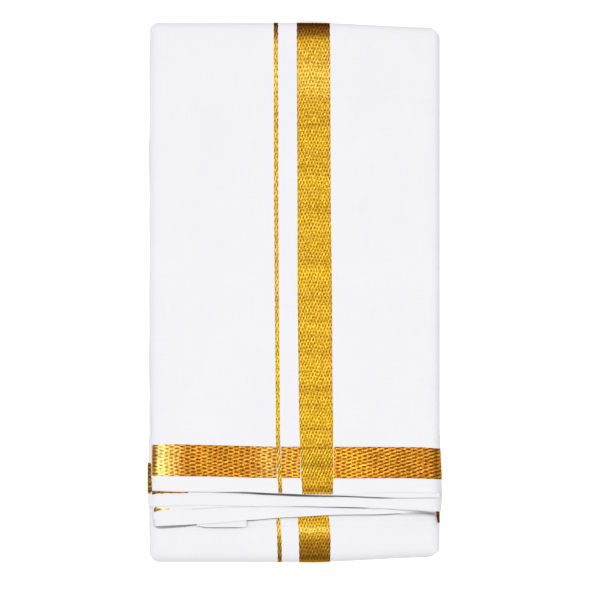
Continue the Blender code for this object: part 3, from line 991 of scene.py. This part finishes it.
# the thin line or a stretch of the wide band, from its left edge to its right one
def uprightBand(name, along, left, right, columns, replaced, seed):
    edges = bandEdges(along)
    share = np.linspace(0.0, 1.0, columns)
    x = edges[left][:, None] + (edges[right] - edges[left])[:, None] * share
    across = x
    jag = 0.12 * mm * np.sin(along / 0.0009)[:, None]
    x = x + jag * ((share < 0.01) | (share > 0.99))     # its two edges are slightly ragged
    grid = np.repeat(along[:, None], columns, axis=1)
    y = outsideY(grid)
    flap = grid < marks["topStart"]
    crossing = smoothStep(y, -149 * mm, -146 * mm) * (1 - smoothStep(y, -125 * mm, -121 * mm)) * flap
    lean = 0.15 + 0.25 * crossing
    uneven = 0.05 * np.sin(grid / 0.0061 + 1.0) + 0.04 * np.sin(grid / 0.0023 + across / 0.02)
    # the band's painted light and shade at each place, with some unevenness at random; it is also darker
    # just above the flap's hem
    tone = bandTone(grid) * (1 + uneven) * (1 - 0.3 * ridge(y, -157.5 * mm, 1.3 * mm) * flap)
    tone = tone * (1 + 0.12 * crossing) * (1.12 if "Line" in name else 1.0)
    # painted highlights: on the lower front where it starts to slope down to the bottom fold, and a broad
    # one on the flap below the top fold
    glare = 0.30 * ridge(y, -188.5 * mm, 2.2 * mm) * (grid > marks["bottomStart"])
    glare = glare + 0.16 * ridge(y, 172 * mm, 16 * mm) * flap
    places = (x, np.zeros(grid.shape), grid)
    bandPiece(name, places, grid, across, "end", lean, tone, glare, endGold, replaced, seed, crossing)


# rows where the wide band is painted darker, as shade from slight undulations of the cloth
darkRows = [
    {"y": 0.1325, "wide": 0.0022, "dark": 0.22},
    {"y": 0.1005, "wide": 0.0012, "dark": 0.12},
    {"y": 0.0440, "wide": 0.0030, "dark": 0.12},
    {"y": -0.0225, "wide": 0.0014, "dark": 0.14},
    {"y": -0.0760, "wide": 0.0035, "dark": 0.10},
    {"y": -0.1085, "wide": 0.0013, "dark": 0.20},
    {"y": -0.1235, "wide": 0.0012, "dark": 0.25},
    {"y": -0.1370, "wide": 0.0020, "dark": 0.18},
    {"y": -0.1555, "wide": 0.0018, "dark": 0.25},
]


# painted light and shade: how bright the gold is at a y in millimetres, painted darker where the cloth
# turns over
bandTones = [
    (-214, 0.70), (-208, 0.65), (-203, 0.60), (-198, 0.69), (-193, 1.00), (-190, 1.13), (-181, 1.01),
    (-160, 1.00), (-146, 1.02), (-124, 1.10), (-100, 1.12), (150, 1.12), (188, 1.20), (197, 1.12),
    (200.3, 0.96), (202.8, 0.58), (205, 0.39), (208, 0.30), (214, 0.27),
]


# the value of a short table of (place in millimetres, value) rows, joined by straight lines
def tableAt(rows, at):
    table = np.array(rows)
    return np.interp(at, table[:, 0] * mm, table[:, 1])


def bandTone(along):
    y = outsideY(along)
    tone = tableAt(bandTones, y)
    for row in darkRows:
        tone = tone * (1 - row["dark"] * ridge(y, row["y"], row["wide"]) * (along < marks["topStart"]))
    return tone


# where a band ends at the flap's hem
def hemEnd(x):
    return float(np.max(readTable(hems["top"], np.array([x])))) + 0.2 * mm


flapBandAlong = np.concatenate([
    np.arange(flapAlong(hemEnd(18 * mm)), marks["topStart"], 0.55 * mm),
    np.arange(marks["topStart"], marks["topEnd"], 0.5 * mm),
])
uprightBand("endBandFlap", flapBandAlong, "bandLeft", "bandRight", 50, ["end_band_flap"], 0.4)
flapLineAlong = np.concatenate([[flapAlong(hemEnd(-12 * mm))], flapBandAlong[4:]])
uprightBand("endLineFlap", flapLineAlong, "lineLeft", "lineRight", 8, ["end_line_flap"], 1.4)
backBandAlong = np.arange(marks["topEnd"], marks["bottomStart"], 1.2 * mm)
uprightBand("endBandBack", backBandAlong, "bandLeft", "bandRight", 24, ["end_band_back"], 2.2)
uprightBand("endLineBack", backBandAlong, "lineLeft", "lineRight", 5, ["end_line_back"], 2.9)
lowerBandAlong = np.concatenate([
    np.arange(marks["bottomStart"], lowerAlong(-168 * mm), 0.5 * mm),
    np.arange(lowerAlong(-166 * mm), marks["end"], 6 * mm),
])
uprightBand("endBandLower", lowerBandAlong, "bandLeft", "bandRight", 50, ["end_band_lower"], 3.7)
uprightBand("endLineLower", lowerBandAlong, "lineLeft", "lineRight", 8, ["end_line_lower"], 4.3)


# painted light and shade: how bright the border is at an x in millimetres
borderTones = [
    (-114.5, 1.02), (-112, 1.08), (-110.6, 1.05), (-108.5, 1.08), (-104, 1.1), (-99, 1.14), (-94, 1.16),
    (-84, 0.96), (-40, 0.98), (-24, 1.04), (-5, 1.04), (5, 1.14), (30, 1.22), (45, 1.22), (65, 1.06),
    (98, 0.88), (106, 0.82), (112, 1.10), (118, 1.2),
]
borderColumn = 0.5 * mm             # the border's columns are this far apart


# the level border between two places; columns are (x, depth, left, third, right) rows
def borderPiece(name, columns, replaced, seed):
    share = np.linspace(0.0, 1.0, 54)[:, None]
    top = readTable(borderEdges["top"], columns[:, 0])
    bottom = readTable(borderEdges["bottom"], columns[:, 0])
    y = bottom + (top - bottom) * share
    x, depth, along = outerGrid(flapAlong(y), columns)
    run = columns[0, 0] + farAcross(columns) + 0.0 * y
    lean = 0.10 + 0.30 * smoothStep(x, 20 * mm, 70 * mm)
    uneven = 0.05 * np.sin(x / 0.0041 + seed) + 0.04 * np.sin(x / 0.009 + y / 0.006)
    tone = tableAt(borderTones, x) * (1 + uneven)
    # painted highlights: a bright one near the left end where the border starts to turn down, a weaker one
    # beside it and a faint one left of the middle
    glare = 0.95 * ridge(x, -106.5 * mm, 4 * mm) + 0.35 * ridge(x, -99 * mm, 8 * mm)
    glare = np.clip(glare, 0.0, 1.0) + 0.2 * ridge(x, -17 * mm, 12 * mm)
    bandPiece(name, (x, depth, along), run, y, "border", lean, tone, glare, borderGold, replaced, seed)


# columns of the border where it lies flat on the front
def flatColumns(start, end):
    count = round((end - start) / borderColumn)
    xs = np.linspace(start, end, count + 1)
    nearLeft = 1 - smoothStep(xs, leftNose, leftNose + 30 * mm)
    nearRight = smoothStep(xs, rightTurn - 30 * mm, rightTurn)
    zero = 0.0 * xs
    return np.stack([xs, zero, nearLeft, zero, nearRight], axis=-1)


# columns of the border where it turns round a side
def turnedColumns(centre, reach, fromDepth, toDepth, steps, left, right):
    points = uTurn(centre, reach, fromDepth, toDepth, steps)
    return np.array([(x, depth, left, 0.0, right) for x, depth in points])


leftNose = outerCloth["left"] + outerCloth["nose"]
rightTurn = sideEdge - (passDeep - leaf) / 2
bandAt = {name: float(edge[0]) for name, edge in bandEdges(flapAlong(np.array([-134 * mm]))).items()}
leftTurn = turnedColumns(leftNose, -1.45 * mm, 2.15 * mm, 0.0, 9, 1.0, 0.0)
leftPart = np.vstack([leftTurn, flatColumns(leftNose, bandAt["lineLeft"] - 0.3 * mm)])
borderPiece("borderLeft", leftPart, ["border_left"], 0.9)
middlePart = flatColumns(bandAt["lineRight"] + 0.3 * mm, bandAt["bandLeft"] - 0.4 * mm)
borderPiece("borderMiddle", middlePart, ["border_middle"], 1.9)
rightWrap = turnedColumns(rightTurn, passDeep / 2 + 0.3 * mm, -0.1 * mm, passDeep + 0.2 * mm, 44, 0.0, 1.0)
rightPart = np.vstack([flatColumns(bandAt["bandRight"] + 0.5 * mm, rightTurn), rightWrap])
borderPiece("borderRight", rightPart, ["border_right"], 2.6)


# a narrow strip of border that peeps out; xs and rise run along the border, y is a grid of rows; its last
# argument scales its brightness, painted shade below 1 and a painted highlight above 0.9
def sliver(name, xs, rise, y, depthAt, seed, paintedLight=0.62):
    grid = (np.broadcast_to(xs, y.shape), np.broadcast_to(depthAt, y.shape), flapAlong(y))
    run = xs - rise + 0.0 * y
    tone = paintedLight * (1 + 0.4 * np.sin(run / (0.9 * mm)) * np.sin(y / (0.8 * mm)))
    glare = 0.18 + 0.6 * np.clip(paintedLight - 0.9, 0.0, 1.0)
    bandPiece(name, grid, run, y, "border", 0.1, tone, glare, borderGold, (), seed)


# where the border shows on the folded edges
turn = nestColumns(10)[2:-1]
turnMiddle = np.array([turn[0, 0], (nest["top"] + nest["low"]) / 2])
grown = np.array([1 + leaf / nest["nose"], 1 + leaf / (nest["low"] - nest["top"])])
turn = turnMiddle + (turn - turnMiddle) * grown
turn[:, 1] -= 0.75 * mm * smoothStep(turn[:, 0], -115.0 * mm, -112.8 * mm)
turnY = np.linspace(-159.8 * mm, -135.4 * mm, 50)[:, None] + 0.0 * turn[:, 0]
turnX = turn[:, 0] + nestMove(flapAlong(turnY))
sliver("borderSecondFold", turnX, turn[:, 1], turnY, turn[:, 1], 3.3, 0.85)

# under the left ends of the flap's hem and of the second hem: the lower edges, as (x, y) in millimetres
peepEdge = [(-113, -160.6), (-109, -159.7), (-104, -159.4), (-90, -159.5), (-84.4, -159.3)]
tipEdge = [(-111.4, -174.4), (-107.5, -173.4), (-104, -173.0), (-96.5, -172.2)]
# how bright the tip is painted: in shade at its left end, with a painted highlight further right
tipPaintedLight = [(-111, 0.6), (-108.5, 0.9), (-106, 1.5), (-96, 1.6)]
peepX = np.linspace(-113.0 * mm, -84.4 * mm, 44)
peepLow = tableAt(peepEdge, peepX) * mm
peepY = peepLow + (-155.5 * mm - peepLow) * np.linspace(0.0, 1.0, 12)[:, None]
sliver("borderUnderFlap", peepX, 0.0, peepY, stepSheets["secondLayers"]["depth"] * mm - leaf / 2, 5.1)
tipX = np.linspace(-111.4 * mm, -96.5 * mm, 26)
tipLow = tableAt(tipEdge, tipX) * mm
tipY = tipLow + (-169.5 * mm - tipLow) * np.linspace(0.0, 1.0, 12)[:, None]
sliver("borderUnderSecond", tipX, 0.0, tipY, stepSheets["thirdLayers"]["depth"] * mm - leaf / 2, 6.2,
       tableAt(tipPaintedLight, tipX))

# down the right side of the third layers, painted deep in shade
sideX = np.array([113.0, 113.9, 114.6, 115.1, 115.4, 115.5]) * mm
sideDepth = np.array([4.25, 4.5, 4.8, 5.4, 6.4, 7.7]) * mm
sideY = np.linspace(-183.0 * mm, -174.0 * mm, 26)[:, None] + 0.0 * sideX
sideX = sideX + 0.8 * mm * smoothStep(sideY, -177 * mm, -183 * mm) * (sideX < 114.8 * mm)
sliver("borderThirdSide", sideX, sideDepth, sideY, sideDepth, 7.4, 0.24)
print("woven gold made")

stage = {
    "floorHalf": 6.0,
    "floorColour": (0.93, 0.93, 0.935),
    "floorGlow": 0.35,              # a lit table, so the pack stands on clean white
    "lightHigh": 2.4,
    "lightShift": -0.15,
    "lightWide": 2.2,
    "lightPower": 52.0,
    "ceiling": (0.20, 0.203, 0.21),
    "walls": (0.62, 0.625, 0.64),
    "cameraHigh": 7.0,
    "viewTall": 0.4871,             # metres of the pack's plane that the picture is tall
    "aim": (4.44 * mm, -11.66 * mm),
}


def makeFloor():
    bpy.ops.mesh.primitive_plane_add(size=2 * stage["floorHalf"], location=(0, 0, -0.3 * mm))
    floor = bpy.context.active_object
    floor.name = "floor"
    material, tree, shader = newMaterial("paleFloor")
    noise = tree.nodes.new("ShaderNodeTexNoise")
    noise.inputs["Scale"].default_value = 3.0
    coordinates = tree.nodes.new("ShaderNodeTexCoord")
    tree.links.new(coordinates.outputs["Object"], noise.inputs["Vector"])
    pale = stage["floorColour"]
    colour = mixColours(tree, noise.outputs["Fac"], pale, tuple(0.985 * part for part in pale))
    tree.links.new(colour, shader.inputs["Base Color"])
    shader.inputs["Roughness"].default_value = 0.9
    shader.inputs["Specular IOR Level"].default_value = 0.1
    shader.inputs["Emission Color"].default_value = (1.0, 1.0, 1.0, 1.0)
    shader.inputs["Emission Strength"].default_value = stage["floorGlow"]
    floor.data.materials.append(material)


def makeLight():
    data = bpy.data.lights.new("softbox", "AREA")
    data.shape = "SQUARE"
    data.size = stage["lightWide"]
    data.energy = stage["lightPower"]
    light = bpy.data.objects.new("softbox", data)
    light.location = (stage["aim"][0], stage["aim"][1] + stage["lightShift"], stage["lightHigh"])
    bpy.context.scene.collection.objects.link(light)
    world = bpy.data.worlds.new("studio")
    world.use_nodes = True
    tree = world.node_tree
    coordinates = tree.nodes.new("ShaderNodeTexCoord")
    separate = tree.nodes.new("ShaderNodeSeparateXYZ")
    tree.links.new(coordinates.outputs["Generated"], separate.inputs["Vector"])
    upward = remap(tree, separate.outputs["Z"], 0.64, 0.88, 0.0, 1.0)
    colour = mixColours(tree, upward, stage["walls"], stage["ceiling"])
    tree.links.new(colour, tree.nodes["Background"].inputs["Color"])
    bpy.context.scene.world = world


def makeCamera():
    data = bpy.data.cameras.new("camera")
    distance = stage["cameraHigh"] - packTop
    data.lens = data.sensor_width * distance / stage["viewTall"]
    data.clip_end = 50
    camera = bpy.data.objects.new("camera", data)
    camera.location = (stage["aim"][0], stage["aim"][1], stage["cameraHigh"])
    bpy.context.scene.collection.objects.link(camera)
    bpy.context.scene.camera = camera


makeFloor()
makeLight()
makeCamera()
bpy.context.scene.view_settings.view_transform = "Standard"
print("stage set")
